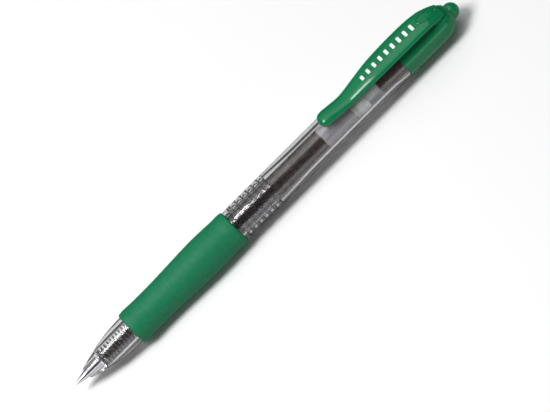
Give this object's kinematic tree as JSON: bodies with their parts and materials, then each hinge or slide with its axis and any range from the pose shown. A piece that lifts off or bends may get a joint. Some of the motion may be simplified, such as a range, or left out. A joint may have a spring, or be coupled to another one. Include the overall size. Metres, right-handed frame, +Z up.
{
  "type": "retractable gel pen",
  "caption": "Retractable gel pen with a clear barrel, a soft grip, a screw-off front section, a click button and a spring-clip cap.",
  "frame": {"origin": "middle of the pen's length and width, on the level of the grip's lowest line", "axes": "+X along the pen from the writing point towards the push button, +Z up through the pocket clip, +Y across"},
  "size_m": [0.1418, 0.011, 0.013],
  "materials": {
    "clear_plastic": "clear polished",
    "grip_rubber": "matte",
    "green_plastic": "glossy",
    "dark_plastic": "satin",
    "tube_plastic": "translucent",
    "ink": "liquid",
    "grease": "frosted",
    "white_plastic": "satin",
    "spring_steel": "drawn wire",
    "tip_metal": "turned",
    "ball_metal": "polished"
  },
  "bodies": {
    "barrel": {"rear_barrel": "clear_plastic", "clip_cap": "green_plastic"},
    "clip": {"clip_arm": "green_plastic"},
    "button": {"push_button": "green_plastic"},
    "rotor": {"rotor_cam": "dark_plastic"},
    "grip": {"rubber_grip": "grip_rubber"},
    "front": {"front_barrel": "clear_plastic", "return_spring": "spring_steel"},
    "refill": {"refill_tube": "tube_plastic", "ink_column": "ink", "ink_follower": "grease", "refill_tail_plug": "white_plastic", "tip_holder": "dark_plastic", "writing_tip": "tip_metal"},
    "ball": {"writing_ball": "ball_metal"}
  },
  "joints": [
    {"name": "button_press", "type": "slide", "parent": "barrel", "child": "button", "axis": [1, 0, 0], "range_m": [-0.0013, 0.0055]},
    {"name": "rotor_turn", "type": "hinge", "parent": "button", "child": "rotor", "pos_m": [0, 0, 0.00552], "axis": [1, 0, 0], "range_deg": [-12, 46]},
    {"name": "front_section_draw", "type": "slide", "parent": "barrel", "child": "grip", "axis": [-1, 0, 0], "range_m": [0, 0.0127]},
    {"name": "front_section_turn", "type": "hinge", "parent": "grip", "child": "front", "pos_m": [0, 0, 0.00552], "axis": [-1, 0, 0], "range_deg": [0, 2288]},
    {"name": "refill_slide", "type": "slide", "parent": "front", "child": "refill", "axis": [1, 0, 0], "range_m": [-0.0014, 0.0056], "deforming": ["return_spring"]},
    {"name": "clip_flex", "type": "hinge", "parent": "barrel", "child": "clip", "pos_m": [0.0641, 0, 0.01082], "axis": [0, 1, 0], "range_deg": [0, 3], "stiffness_Nm_per_rad": 1.2},
    {"name": "ball_roll", "type": "hinge", "parent": "refill", "child": "ball", "pos_m": [-0.07055, 0, 0.00552], "axis": [0, 1, 0], "continuous": true}
  ],
  "couplings": [
    {"joint": "rotor_turn", "follows": "button_press", "rad_per_m": 142.8},
    {"joint": "refill_slide", "follows": "button_press", "ratio": 1},
    {"joint": "front_section_turn", "follows": "front_section_draw", "rad_per_m": 3141.6}
  ]
}
